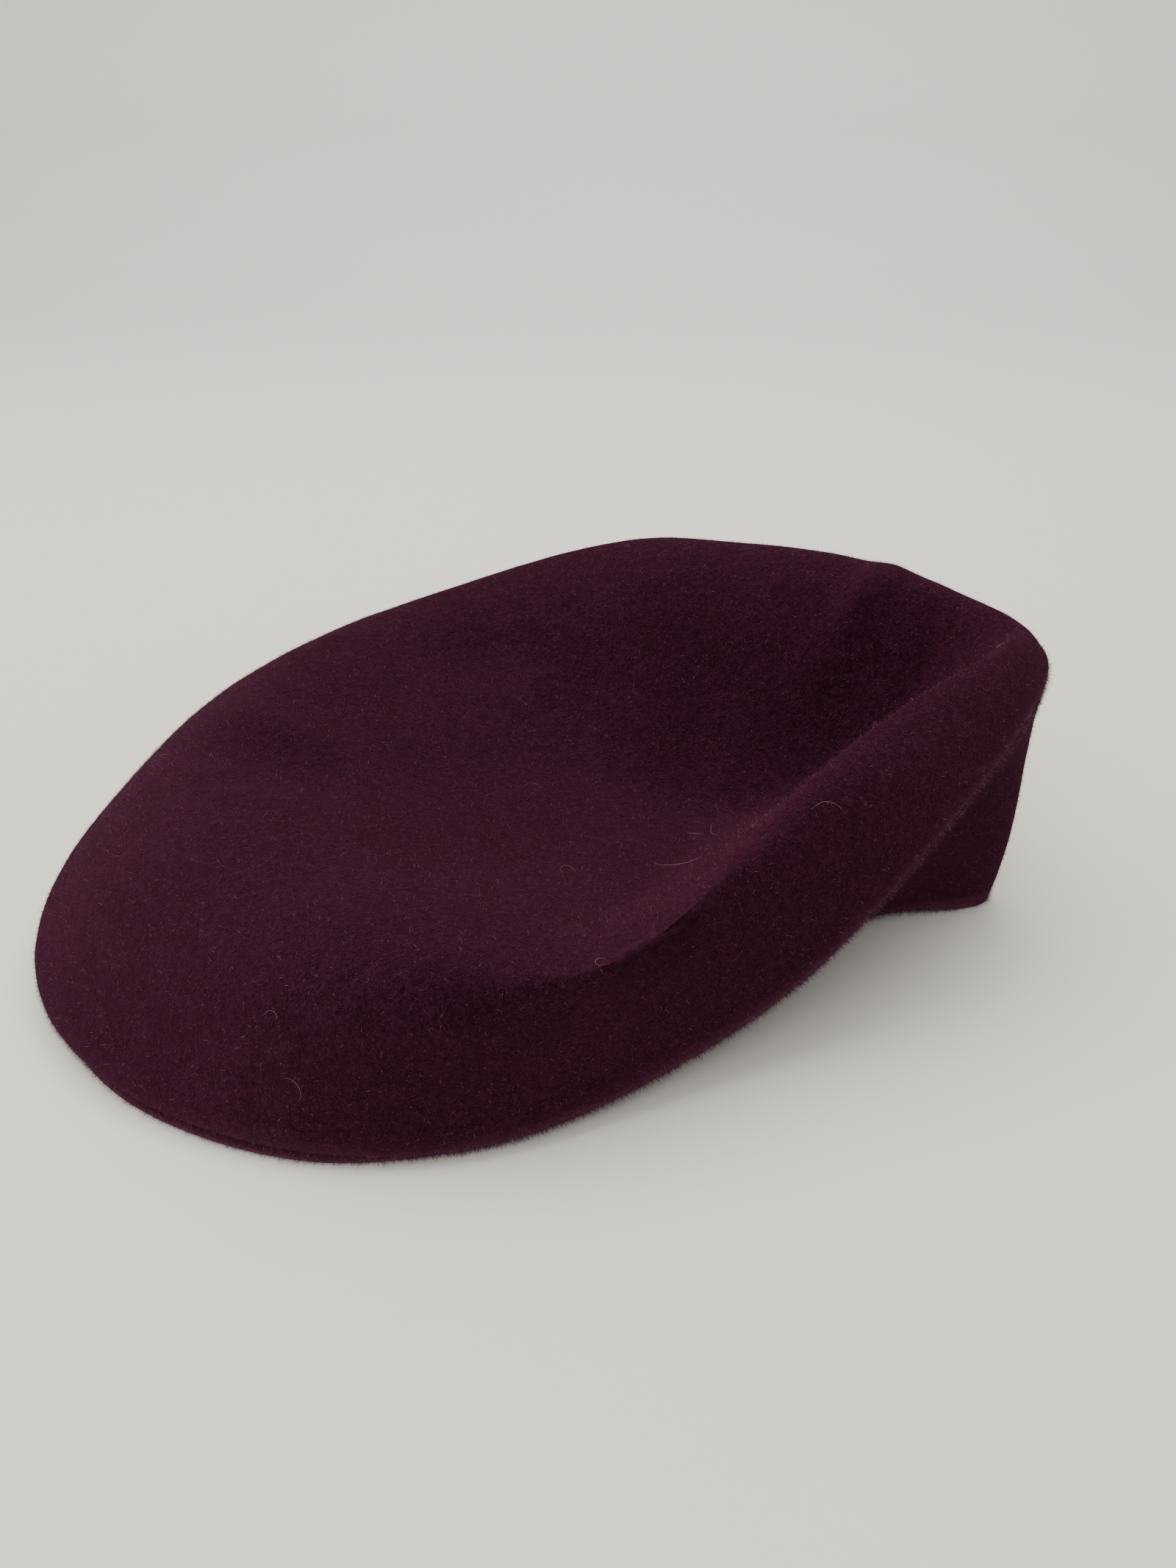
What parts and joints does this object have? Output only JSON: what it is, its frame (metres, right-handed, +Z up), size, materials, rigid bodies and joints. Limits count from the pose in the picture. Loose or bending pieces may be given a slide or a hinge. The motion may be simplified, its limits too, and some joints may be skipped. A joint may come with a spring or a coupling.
{
  "type": "beret",
  "caption": "Soft wool felt beret set down on a table: crown sunk into a dish, one end standing on its side wall, the other lying flat; open head hole underneath.",
  "frame": {"origin": "on the table under the middle of the beret's outline", "axes": "+X towards the end that stands up, +Y towards the far side, +Z up"},
  "size_m": [0.2904, 0.218, 0.0932],
  "materials": {
    "felt_body": "brushed fulled wool felt, matt with a short nap",
    "sweatband": "cross-ribbed grosgrain ribbon",
    "sweatband_stitches": "sewing thread",
    "woven_label": "plain blank woven satin",
    "label_stitches": "sewing thread",
    "bow_loops": "narrow grosgrain ribbon",
    "bow_knot": "narrow grosgrain ribbon",
    "care_label": "blank white satin tape",
    "size_tab": "blank woven tape"
  },
  "bodies": {
    "beret": {"felt_body": "felt_body", "sweatband": "sweatband", "sweatband_stitches": "sweatband_stitches", "woven_label": "woven_label", "label_stitches": "label_stitches", "bow_loops": "bow_loops", "bow_knot": "bow_knot"},
    "care_flap": {"care_label": "care_label"},
    "size_flap": {"size_tab": "size_tab"}
  },
  "joints": [
    {"name": "care_label_hinge", "type": "hinge", "parent": "beret", "child": "care_flap", "pos_m": [0.06254, 0.05115, 0.00721], "axis": [0.9468, -0.3219, 0.0015], "range_deg": [0, 110]},
    {"name": "size_tab_hinge", "type": "hinge", "parent": "beret", "child": "size_flap", "pos_m": [0.04099, 0.05774, 0.0072], "axis": [0.9715, -0.2367, 0.0116], "range_deg": [0, 110]}
  ]
}
